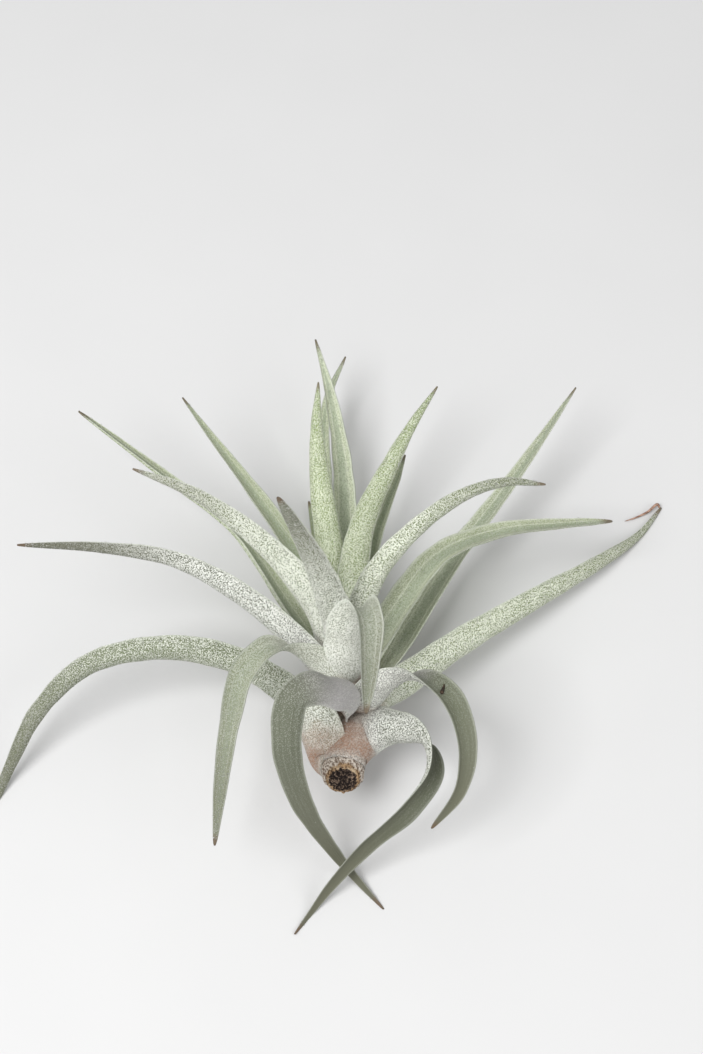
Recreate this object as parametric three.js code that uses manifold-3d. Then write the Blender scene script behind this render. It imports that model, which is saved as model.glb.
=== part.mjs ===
// An air plant: a short woody stem with its cut end showing, and 21 channelled leaves whose bases
// clasp it, lying on a level surface on its lowest leaf tips. Millimetres, +Z up.
//
// The leaves are set out in the plant's own frame, as it is seen from the front: X to the right,
// Y up along the crown and Z to the front, from the centre of the stem's cut end. The whole
// group then lies back by LEAN, is lifted by LIFT on to the surface, and is moved so that the
// origin is the middle of the ground it covers.
import * as THREE from 'three';
import { mergeVertices } from 'three/addons/utils/BufferGeometryUtils.js';
import Module from 'manifold-3d';

const LEAN = THREE.MathUtils.degToRad(30); // how far the plant lies back from upright
const LIFT = 20.6; // height of the stem's cut end above the surface
const MIDDLE = [-2.23, 52.32]; // middle of the ground covered, from below the stem's cut end
const GAP = 0.3; // clearance between neighbouring pieces

// Stem: its centreline, and its radius at heights along that line.
const STEM_ROUTE = [[0, 0, 0], [0, 3, -5], [0, 9, -11.5], [0.3, 22, -19], [0.6, 31.5, -24.3]];
const STEM_RADII = [[0, 4.7], [3, 5.0], [8, 5.2], [20, 4.6], [38, 2.6], [41, 1.6]];
const STEM_SIDES = 16;
const STEM_STATIONS = 16;

// Leaf blade: an arc in section, thickest along the middle.
const MIDDLE_THICKNESS = 1.3;
const EDGE_THICKNESS = 0.6;
const TIP_THICKNESS_SHARE = 0.55; // thickness left at the tip
const TIP_WIDTH = 0.5;
const ROOT_THICKNESS = 0.7; // thickness of a leaf's very base, which thickens over ROOT_LENGTH
const ROOT_LENGTH = 10;
const CLASP = 1.25; // radians to each side by which most bases clasp the stem
const CLASP_LENGTH = 22; // distance over which the clasping base opens into the blade
const CENTRING_LENGTH = 16; // distance over which the route moves to the middle of the section
// A leaf's first stretch, at most a share of the way to its first route point: its length, and
// how much of it goes along the stem and away from the stem.
const FIRST_STEP = 4;
const FIRST_STEP_SHARE = 0.35;
const FIRST_SLOPE = [0.85, 0.5];
const TURN_SPAN = [0, 26]; // distances between which most leaves turn about their own line
const STATION_SPACING = 5.4;
const COLUMNS = 4; // facets across each face of a blade
const SHORTEST_EDGE = 0.02; // a cut leaves no edge shorter than this
const WELD_DISTANCE = 1e-4; // vertices closer than this are one
const CURVE_DIVISIONS = 400; // steps by which a curve's length is measured
const SURFACE_BLOCK = 600; // side of the block that stands for the surface

// Each leaf: the height of its seat on the stem, the side of the stem it grows from (degrees
// round the stem, 0 right, 90 front), the degrees its blade then turns about its own line, its
// unrolled width, the half angle of its channel near the base and at the tip, the two powers of
// its taper, and the points that its middle passes, chosen by hand. A channel below zero bows the
// blade the other way. Some also say how far their wide bases clasp, by how much these flare
// above the stem, and between which distances they turn.
const LEAVES = [
  { name: 'leaf_01_front_right', seat: 2.5, side: 72, turn: 115, turnSpan: [10, 60], clasp: 2.1,
    flare: 4, width: 12.5, channel: [1.35, 0.7], taper: [1, 0.8],
    route: [[6, 13, -6], [15.5, 14, 1], [22.5, 11.5, 9], [24, 4, 12], [18, -6.5, 9], [6, -18, 3],
      [-3.5, -29, -1], [-9, -36.5, -2], [-13, -41.5, 0.8]] },
  { name: 'leaf_02_far_left_low', seat: 5, side: 178, turn: 40, clasp: 1.6, flare: 8, width: 12,
    channel: [1, 1], taper: [1, 0.62],
    route: [[-8.5, 16.5, -6.5], [-16, 23.5, -8], [-29.5, 31.5, -7], [-48.5, 35, -6], [-69.5, 30.5, -8],
      [-84, 17.5, -13], [-92, 3, -17.5], [-96.5, -7, -19], [-99.5, -14.5, -14.5]] },
  { name: 'leaf_03_far_right_low', seat: 16, side: 15, turn: -27, width: 12.5, channel: [1, 1],
    taper: [1, 0.68],
    route: [[5.5, 18, -12], [16, 24.5, -17], [33, 35.5, -26], [55, 47.5, -38], [75, 58, -50],
      [88, 66, -60.5], [95, 74, -66]] },
  { name: 'leaf_04_front_left', seat: 20, side: 120, turn: -40, turnSpan: [0, 20], width: 12.5,
    channel: [-1.7, 0.9], taper: [1, 0.7],
    route: [[2.2, 22, 3], [1.8, 24, 12], [-2, 25.2, 21.5], [-7.5, 27, 28], [-12.5, 24.5, 30],
      [-14.5, 13, 27], [-11, -4, 14], [-1.5, -21, -3], [4.5, -28.5, -5.6], [11, -35.5, -3.2]] },
  { name: 'leaf_05_right_hook', seat: 19, side: 80, turn: 80, turnSpan: [16, 44], width: 12,
    channel: [1.2, 0.8], taper: [1, 0.62],
    route: [[5, 20, -4], [10.5, 26, 1], [19, 29, 7], [28, 24, 13], [32.5, 12, 17], [31, -0.5, 16],
      [23.5, -11.5, 12]] },
  { name: 'leaf_06_left_hook', seat: 21, side: 100, turn: -80, turnSpan: [18, 48], width: 12,
    channel: [1.2, 0.8], taper: [1, 0.65],
    route: [[-3, 27.5, -4], [-9, 34, 2], [-18, 37, 9], [-26, 30.5, 15], [-29.5, 17, 19],
      [-31.8, 1, 20], [-33.5, -15, 19]] },
  { name: 'leaf_07_far_left', seat: 24, side: 165, turn: 37, width: 11.5, channel: [1, 1],
    taper: [1, 0.7],
    route: [[-7, 29.5, -13], [-16.5, 40, -13], [-29, 50, -12], [-46, 59, -9], [-66, 62.5, -5],
      [-88, 63.5, 0]] },
  { name: 'leaf_08_back_right', seat: 25, side: 318, turn: 28, width: 11, channel: [0.9, 0.9],
    taper: [2, 0.9],
    route: [[9, 25, -20], [19, 40, -30], [32, 59.5, -40], [47.5, 79.5, -47], [59, 95.5, -52],
      [68.5, 109.5, -56]] },
  { name: 'leaf_09_front_folded', seat: 26, side: 90, turn: 20, width: 18, channel: [1.5, 1.2],
    taper: [1, 0.6],
    route: [[0.5, 28, -6], [0.5, 38, 6], [2, 46, 17], [5, 48.5, 25], [7, 44, 31], [7, 35.5, 34],
      [6, 20.5, 32]] },
  { name: 'leaf_10_back_left', seat: 27, side: 205, turn: -17, width: 12.5, channel: [1, 1],
    taper: [1, 0.6],
    route: [[-8, 34, -24], [-17, 48, -31], [-31, 67.5, -37], [-51.5, 83, -42], [-77, 102, -46]] },
  { name: 'leaf_11_right_wide', seat: 28, side: 340, turn: 40, width: 14.5, channel: [0.9, 0.9],
    taper: [1, 0.55],
    route: [[8, 32.5, -18], [17, 48, -20], [27.5, 60.5, -23], [44, 67, -27], [61.5, 69, -30],
      [76.5, 70, -32]] },
  { name: 'leaf_12_left', seat: 29, side: 142, turn: 27, width: 12, channel: [1, 1],
    taper: [1.5, 0.8],
    route: [[-5, 41, -16], [-12, 53, -11], [-23.5, 65, -5], [-40, 77, 0], [-56.5, 84, 3]] },
  { name: 'leaf_13_front_short', seat: 30, side: 105, turn: 5, width: 14, channel: [1, 1],
    taper: [1, 0.58],
    route: [[-0.5, 37.5, -9], [-5, 53, 6], [-9.5, 63, 18], [-13.5, 70.5, 27], [-16.5, 76, 34]] },
  { name: 'leaf_14_right_arched', seat: 31, side: 45, turn: -25, width: 10.5, channel: [1, 1],
    taper: [1, 0.68],
    route: [[4, 41.5, -12], [8.5, 54.5, -8], [18.5, 66.5, -5], [32, 76.5, -5], [44, 80.5, -7],
      [55.5, 80, -10]] },
  { name: 'leaf_15_back_left_high', seat: 33, side: 208, turn: -42, width: 11, channel: [1.2, 1.1],
    taper: [1.5, 0.9],
    route: [[-4.5, 43.5, -30], [-13.5, 60.5, -40], [-28.5, 81.5, -48], [-39, 95, -52],
      [-47.5, 106.5, -55]] },
  { name: 'leaf_16_back_low', seat: 34, side: 270, turn: 0, width: 6, channel: [1, 1],
    taper: [1, 0.6],
    route: [[-1, 33, -34], [-4.5, 50, -47], [-8, 63, -59.5], [-10.5, 76, -66.2]] },
  { name: 'leaf_17_top_right', seat: 35, side: 50, turn: -25, width: 12, channel: [1.1, 1.1],
    taper: [1.5, 0.9],
    route: [[2.5, 48, -24], [5.5, 69, -36], [13, 85.5, -43], [20.5, 99, -48], [27.5, 109.5, -53]] },
  { name: 'leaf_18_top_left', seat: 36, side: 100, turn: 5, width: 12.5, channel: [1.2, 1.2],
    taper: [1.8, 0.85],
    route: [[-0.5, 46.5, -28], [-4, 63.5, -36], [-7, 83.5, -45], [-8, 98, -52], [-7.5, 111, -57]] },
  { name: 'leaf_19_top_right_inner', seat: 36.5, side: 335, turn: 35, width: 10, channel: [1, 1],
    taper: [2, 0.8],
    route: [[4.5, 46, -33], [8, 62, -42], [12, 73.5, -47], [15.5, 82, -50], [18, 89.5, -52]] },
  { name: 'leaf_20_top_tall', seat: 38, side: 265, turn: 0, width: 11.5, channel: [1.3, 1.2],
    taper: [1.8, 0.9],
    route: [[0.5, 47.5, -34.5], [0.5, 63, -45], [-0.5, 86.5, -56], [-4, 107.5, -62],
      [-8.5, 124.5, -66]] },
  { name: 'leaf_21_top_inner', seat: 38.5, side: 270, turn: 8, width: 8.5, channel: [1, 1],
    taper: [1.5, 0.8],
    route: [[-1, 47.5, -39], [-3.5, 64.5, -50], [-6, 85, -62], [-5, 106.5, -70], [0.5, 120, -74]] },
];

const wasm = await Module();
wasm.setup();

const vector = ([x, y, z]) => new THREE.Vector3(x, y, z);
const smooth = (t) => THREE.MathUtils.smoothstep(t, 0, 1);

function readTable(table, at) {
  const next = table.findIndex(([place]) => place >= at);
  if (next < 0) return table[table.length - 1][1];
  if (next === 0) return table[0][1];
  const [[from, low], [to, high]] = [table[next - 1], table[next]];
  return low + ((high - low) * (at - from)) / (to - from);
}

function curveThrough(points) {
  const curve = new THREE.CatmullRomCurve3(points, false, 'centripetal');
  curve.arcLengthDivisions = CURVE_DIVISIONS;
  return curve;
}

const stemCurve = curveThrough(STEM_ROUTE.map(vector));
const stemLength = stemCurve.getLength();

// The stem's centre, direction and the unit vector that points out to one side, at a height;
// beyond either end it goes straight on.
function stemFrame(height, side = 0) {
  const share = THREE.MathUtils.clamp(height / stemLength, 0, 1);
  const along = stemCurve.getTangentAt(share);
  const centre = stemCurve.getPointAt(share).addScaledVector(along, height - share * stemLength);
  const right = new THREE.Vector3(1, 0, 0);
  right.addScaledVector(along, -right.dot(along)).normalize();
  const front = new THREE.Vector3().crossVectors(right, along);
  const angle = THREE.MathUtils.degToRad(side);
  const out = right.multiplyScalar(Math.cos(angle)).addScaledVector(front, Math.sin(angle));
  return { centre, along, out };
}

// A closed solid from a list of rings with the same number of points, ends capped flat.
function loft(rings) {
  const count = rings[0].length;
  const vertices = rings.flat();
  const triangles = [];
  for (let i = 0; i + 1 < rings.length; i++) {
    for (let j = 0; j < count; j++) {
      const a = i * count + j;
      const b = i * count + ((j + 1) % count);
      triangles.push(a, b, b + count, a, b + count, a + count);
    }
  }
  const last = (rings.length - 1) * count;
  for (let j = 1; j + 1 < count; j++) {
    triangles.push(0, j + 1, j, last, last + j, last + j + 1);
  }
  return toSolid(vertices, triangles);
}

function toSolid(vertices, triangles) {
  const geometry = new THREE.BufferGeometry().setFromPoints(vertices);
  geometry.setIndex(triangles);
  return geometryToSolid(geometry);
}

function geometryToSolid(geometry) {
  geometry.deleteAttribute('normal');
  geometry.deleteAttribute('uv');
  const merged = mergeVertices(geometry, WELD_DISTANCE);
  return new wasm.Manifold(new wasm.Mesh({
    numProp: 3,
    tolerance: SHORTEST_EDGE,
    vertProperties: merged.attributes.position.array,
    triVerts: new Uint32Array(merged.index.array),
  }));
}

// A round solid that follows the stem between two heights.
function stemSolid(from, to, radiusAt, stations) {
  const rings = [];
  for (let i = 0; i <= stations; i++) {
    const height = from + ((to - from) * i) / stations;
    const ring = [];
    for (let j = 0; j < STEM_SIDES; j++) {
      const { centre, out } = stemFrame(height, (j * 360) / STEM_SIDES);
      ring.push(centre.addScaledVector(out, radiusAt(height)));
    }
    rings.push(ring);
  }
  return loft(rings.map((ring) => ring.reverse()));
}

const stemRadius = (height) => readTable(STEM_RADII, height);
const claspRadius = (height) => stemRadius(height) + GAP + ROOT_THICKNESS / 2;

// Frames that turn as little as possible along a leaf, rolled so that the first one faces the stem.
function leafFrames(curve, stations, facing) {
  const { tangents, normals } = curve.computeFrenetFrames(stations, false);
  const first = facing.clone().addScaledVector(tangents[0], -facing.dot(tangents[0])).normalize();
  const turn = Math.atan2(
    new THREE.Vector3().crossVectors(normals[0], first).dot(tangents[0]),
    normals[0].dot(first),
  );
  return tangents.map((tangent, i) => (
    { tangent, normal: normals[i].clone().applyAxisAngle(tangent, turn) }
  ));
}

function leafCurve({ seat, side, route }) {
  const { centre, along, out } = stemFrame(seat, side);
  const root = centre.addScaledVector(out, claspRadius(seat));
  const points = route.map(vector);
  const step = Math.min(FIRST_STEP, FIRST_STEP_SHARE * points[0].distanceTo(root));
  const second = root.clone()
    .addScaledVector(along, FIRST_SLOPE[0] * step)
    .addScaledVector(out, FIRST_SLOPE[1] * step);
  return { curve: curveThrough([root, second, ...points]), out };
}

// The blade: at each station an arc, which hugs the stem at the root and is concave on the same
// side all along. Its outer and inner faces split into the same triangles. grow thickens it on
// every side.
function leafSolid(leaf, grow = 0) {
  const { curve, out } = leafCurve(leaf);
  const length = curve.getLength();
  const stations = Math.round(length / STATION_SPACING);
  const frames = leafFrames(curve, stations, out.negate());
  const { clasp = CLASP, flare = 0, turnSpan: [turnStart, turnEnd] = TURN_SPAN } = leaf;
  const [power, root] = leaf.taper;
  const outer = [];
  const inner = [];
  for (let i = 0; i <= stations; i++) {
    const u = i / stations;
    const distance = u * length;
    const turned = smooth((distance - turnStart) / (turnEnd - turnStart));
    const turn = THREE.MathUtils.degToRad(leaf.turn) * turned;
    const { tangent, normal } = frames[i];
    const upper = normal.clone().applyAxisAngle(tangent, turn);
    const across = new THREE.Vector3().crossVectors(tangent, upper);
    const width = leaf.width * (1 - u ** power) ** root + TIP_WIDTH;
    const open = smooth(distance / CLASP_LENGTH);
    const channel = THREE.MathUtils.lerp(...leaf.channel, u);
    const halfAngle = THREE.MathUtils.lerp(clasp, channel, open);
    const flared = flare * Math.sin(Math.PI * open);
    const unrolled = THREE.MathUtils.lerp(2 * clasp * claspRadius(leaf.seat), width, open) + flared;
    const radius = unrolled / (2 * halfAngle);
    const depth = radius * (1 - Math.cos(halfAngle));
    const centre = curve.getPointAt(u)
      .addScaledVector(upper, radius - (depth / 2) * smooth(distance / CENTRING_LENGTH));
    const reach = halfAngle + grow / radius;
    const grown = smooth(distance / ROOT_LENGTH);
    const middle = THREE.MathUtils.lerp(ROOT_THICKNESS, MIDDLE_THICKNESS, grown);
    const thinning = THREE.MathUtils.lerp(1, TIP_THICKNESS_SHARE, u);
    for (let j = 0; j <= COLUMNS; j++) {
      const q = (2 * j) / COLUMNS - 1;
      const facing = upper.clone().multiplyScalar(-Math.cos(q * reach))
        .addScaledVector(across, Math.sin(q * reach));
      const full = EDGE_THICKNESS + (middle - EDGE_THICKNESS) * (1 - q * q);
      const half = Math.max(full * thinning, EDGE_THICKNESS) / 2 + grow;
      outer.push(centre.clone().addScaledVector(facing, radius + half));
      inner.push(centre.clone().addScaledVector(facing, radius - half));
    }
  }
  return toSolid([...outer, ...inner], bladeTriangles(stations, outer.length));
}

// Triangles of a blade whose outer face's vertices come first and its inner face's after them.
function bladeTriangles(stations, offset) {
  const row = COLUMNS + 1;
  const triangles = [];
  const quad = (a, b, c, d) => triangles.push(a, c, b, a, d, c);
  for (let i = 0; i < stations; i++) {
    for (let j = 0; j < COLUMNS; j++) {
      const [a, b, c, d] = [i * row + j, i * row + j + 1, (i + 1) * row + j + 1, (i + 1) * row + j];
      quad(a, b, c, d);
      triangles.push(a + offset, b + offset, c + offset, a + offset, c + offset, d + offset);
    }
    const left = i * row;
    const right = left + COLUMNS;
    quad(left, left + row, left + row + offset, left + offset);
    quad(right, right + offset, right + row + offset, right + row);
  }
  for (let j = 0; j < COLUMNS; j++) {
    const tip = stations * row + j;
    quad(j, j + offset, j + 1 + offset, j + 1);
    quad(tip, tip + 1, tip + 1 + offset, tip + offset);
  }
  return triangles;
}

// The largest of the bodies that a cut leaves; the loose scraps are dropped.
function largestBody(solid) {
  return solid.decompose().reduce((best, body) => (body.volume() > best.volume() ? body : best));
}

function toMesh(name, solid, material) {
  const { vertProperties, triVerts } = solid.getMesh();
  const geometry = new THREE.BufferGeometry();
  geometry.setAttribute('position', new THREE.Float32BufferAttribute(vertProperties, 3));
  geometry.setIndex([...triVerts]);
  geometry.computeVertexNormals();
  const mesh = new THREE.Mesh(geometry, material);
  mesh.name = name;
  return mesh;
}

// The space below the surface, in the plant's own frame.
function surfaceBlock() {
  const block = new THREE.BoxGeometry(SURFACE_BLOCK, SURFACE_BLOCK, SURFACE_BLOCK);
  return geometryToSolid(block.translate(0, 0, -SURFACE_BLOCK / 2 - LIFT).rotateX(-LEAN));
}

const bark = new THREE.MeshStandardMaterial({ color: 0x5b4636, roughness: 0.9, metalness: 0 });
const blade = new THREE.MeshStandardMaterial({ color: 0xaebaa6, roughness: 0.8, metalness: 0 });

function buildPlant() {
  const plant = new THREE.Group();
  plant.rotation.x = LEAN;
  plant.position.set(-MIDDLE[0], -MIDDLE[1], LIFT);

  const stem = stemSolid(0, stemLength, stemRadius, STEM_STATIONS);
  const stemRoom = stemSolid(-GAP, stemLength + GAP, (h) => stemRadius(h) + GAP, STEM_STATIONS);
  plant.add(toMesh('stem', stem, bark));

  let taken = stemRoom.add(surfaceBlock());
  const insideOut = [...LEAVES].sort((a, b) => b.seat - a.seat);
  for (const leaf of insideOut) {
    const body = largestBody(leafSolid(leaf).subtract(taken));
    plant.add(toMesh(leaf.name, body, blade));
    taken = taken.add(leafSolid(leaf, GAP));
  }
  return plant;
}

export default buildPlant();
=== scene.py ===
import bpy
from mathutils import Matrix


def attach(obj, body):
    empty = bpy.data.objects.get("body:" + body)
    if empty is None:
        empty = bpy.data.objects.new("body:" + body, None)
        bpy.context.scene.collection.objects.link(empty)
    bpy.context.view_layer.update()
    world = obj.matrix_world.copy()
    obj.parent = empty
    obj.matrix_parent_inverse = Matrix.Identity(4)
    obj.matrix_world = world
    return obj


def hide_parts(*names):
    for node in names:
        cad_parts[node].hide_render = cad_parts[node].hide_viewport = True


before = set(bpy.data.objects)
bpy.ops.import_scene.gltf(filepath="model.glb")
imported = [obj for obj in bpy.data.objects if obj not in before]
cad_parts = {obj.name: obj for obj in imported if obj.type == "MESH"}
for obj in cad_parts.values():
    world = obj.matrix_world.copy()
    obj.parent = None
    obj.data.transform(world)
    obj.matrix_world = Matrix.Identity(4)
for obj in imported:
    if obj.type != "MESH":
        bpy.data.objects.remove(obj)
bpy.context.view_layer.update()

# An air plant: a short woody stem with its rough cut end showing, and 21 channelled leaves under
# a coat of silver shields. It lies on a pale surface. Shapes are worked out in millimetres, and
# become metres where a mesh is made.
from types import SimpleNamespace

import bpy
import numpy as np
from mathutils import Vector

MM = 0.001

# The plant is set out as it is seen from the front: X to the right, Y up along the crown and Z
# to the front, from the centre of the stem's cut end. It then lies back by LEAN, is lifted by
# LIFT and is moved by MIDDLE, as the CAD part is.
LEAN = np.radians(30)
LIFT = 20.6
MIDDLE = (-2.23, 52.32)
GAP = 0.3  # clearance between neighbouring pieces
CLEARANCE = 0.01  # height of the lowest points above the surface the plant lies on
CURVE_STEPS = 60  # steps of a smooth curve between two of its points

# Stem: its centreline, its radius at heights along that line, and how finely it is made.
STEM_ROUTE = [(0, 0, 0), (0, 3, -5), (0, 9, -11.5), (0.3, 22, -19), (0.6, 31.5, -24.3)]
STEM_RADII = [(0, 4.7), (3, 5.0), (8, 5.2), (20, 4.6), (38, 2.6), (41, 1.6)]
STEM_STATIONS = 400  # places at which its centreline is known
STEM_SIDES, STEM_ROWS = 120, 70  # points round it, and rings along it
END_RINGS = 26  # steps from the middle of its cut end to the rim

# The stem's surface: its rim is worn, less and less over RIM_REACH. Behind the rim it swells over
# one stretch and comes back over another. Ridges fade over RIDGE_REACH, and fine bark covers it.
RIM_WEAR, RIM_REACH = 0.4, 1.2
SWELLING, SWELLING_RISES, SWELLING_FALLS = 0.75, (0.75, 2.25), (10, 6)
RIDGE_HEIGHT, RIDGE_REACH = 0.28, 6
BARK_HEIGHT = 0.12

# The stem's cut end, with the shares of its radius between which each form sets in: the pith is
# sunk, pitted, and less deep at its very middle.
PITH_DEPTH, PITH_EDGE = 0.55, (0.84, 0.74)
PIT_DEPTH, PIT_EDGE = 0.35, (0.95, 0.8)
PITH_MIDDLE = (-0.048, 0.072)

# Ripples of the stem, each by a seed and its least and most waves per millimetre.
RIDGE_RIPPLE = (3, 0.3, 0.9)
BARK_RIPPLE = (5, 0.5, 2)
PIT_RIPPLE = (7, 0.3, 0.8)
SINES = 6  # sine waves in a ripple
RIPPLE_GAIN = 1.6  # brings the mean of those waves to about 1 at its highest

# Leaf blade: an arc in section, thickest along the middle.
MIDDLE_THICKNESS = 1.2
EDGE_THICKNESS = 0.28  # a margin is thinner here than in the CAD part, as the real one is
TIP_THICKNESS_SHARE = 0.5  # thickness left at the tip
THINNEST = 0.2
TIP_WIDTH = 0.35
ROOT_THICKNESS = 0.7  # thickness of a leaf's very base, which thickens over ROOT_LENGTH
ROOT_LENGTH = 10
CLASP = 1.25  # radians to each side by which most bases clasp the stem
CLASP_LENGTH = 22  # distance over which the clasping base opens into the blade
CENTRING_LENGTH = 16  # distance over which the route moves to the middle of the section
# A leaf's first stretch, at most a share of the way to its first route point: its length, and
# how much of it goes along the stem and away from the stem.
FIRST_STEP = 4
FIRST_STEP_SHARE = 0.35
FIRST_SLOPE = (0.85, 0.5)
TURN_SPAN = (0, 26)  # distances between which most leaves turn about their own line
ROWS = 190  # steps along a leaf
COLUMNS = 26  # steps across each face of a leaf

# How unevenly a leaf grew: the shares by which its width and its channel waver, the height of its
# lengthwise creases, and the least and most waves per millimetre of each. The width wavers fully
# from WAVER_START on. Creases are spaced as on a blade whose half width is CREASE_SPAN.
WIDTH_WAVER, WIDTH_WAVES = 0.035, (0.03, 0.12)
CHANNEL_WAVER, CHANNEL_WAVES = 0.04, (0.02, 0.09)
CREASE_HEIGHT, CREASE_WAVES = 0.1, (0.5, 1.1)
WAVER_START = 15
CREASE_SPAN = 3.2

# Loose shields on a leaf.
SHIELDS_PER_SQUARE_MM = 2.2
SHIELD_REACH = 0.985  # share of the leaf that they cover
SHIELD_CROWDING = 1.4  # power by which they crowd towards its base
SHIELD_LEANING = 4  # power by which they keep to its more silvery face
SHIELD_ROOT = -0.03  # height of their roots above the skin
SHIELD_SPREAD = 0.9  # radians by which they turn from the leaf's line, as a standard deviation
SHIELD_LENGTHS = (0.22, 0.38)
SHIELD_HALF_WIDTH = 0.34  # share of the length
SHIELD_RISE, SHIELD_SLOPES = 0.05, (0.06, 0.4)  # a tip's least height, and its rise on the length
SHIELD_MIDDLE = (0.5, 0.3)  # where they are widest: shares of the length and of the tip's height

# Dry threads: the withered end of the far right leaf, bent back on itself, and a dark fleck that
# lies on the inner face of the right hook, at distances along it and shares of the way across.
DRY_TIP_ROUTE = [(94.6, 73.9, -65.6), (93.9, 75.1, -65.2), (91.0, 72.9, -64.4),
                 (87.2, 71.1, -63.8), (83.8, 70.0, -63.2)]
DRY_TIP_RADIUS = 0.4
FLECK_LEAF = "leaf_05_right_hook"
FLECK_PLACES = [(41.3, 0.45), (40.8, 0.3), (40.0, -0.1), (39.2, -0.45)]
FLECK_RADIUS = 0.5
THREAD_ROWS, THREAD_SIDES = 40, 6
THREAD_END = 0.15  # share of a thread's radius left at its ends
THREAD_POWERS = (0.4, 0.6)  # the first moves its thickest place, the second makes it fuller

# The studio. The eye is placed in the plant's frame. The floor, the lamps and their aim are in
# metres, each lamp with its place, width and watts.
EYE = (2.3, 68.3, 600)
SENSOR = 36  # width of the camera's sensor in millimetres
FOCAL_PIXELS, FRAME_PIXELS = 2222, 1054
VIEW_END = 20  # metres that the camera sees
FLOOR_REACH = 6.0
SOFTBOXES = {"key": ((-0.45, -0.4, 1), 0.6, 11), "fill": ((0.8, -0.5, 0.8), 0.8, 3.2)}
AIM = (0, 0, 0.03)
SKY_STRENGTH = 0.54

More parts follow.
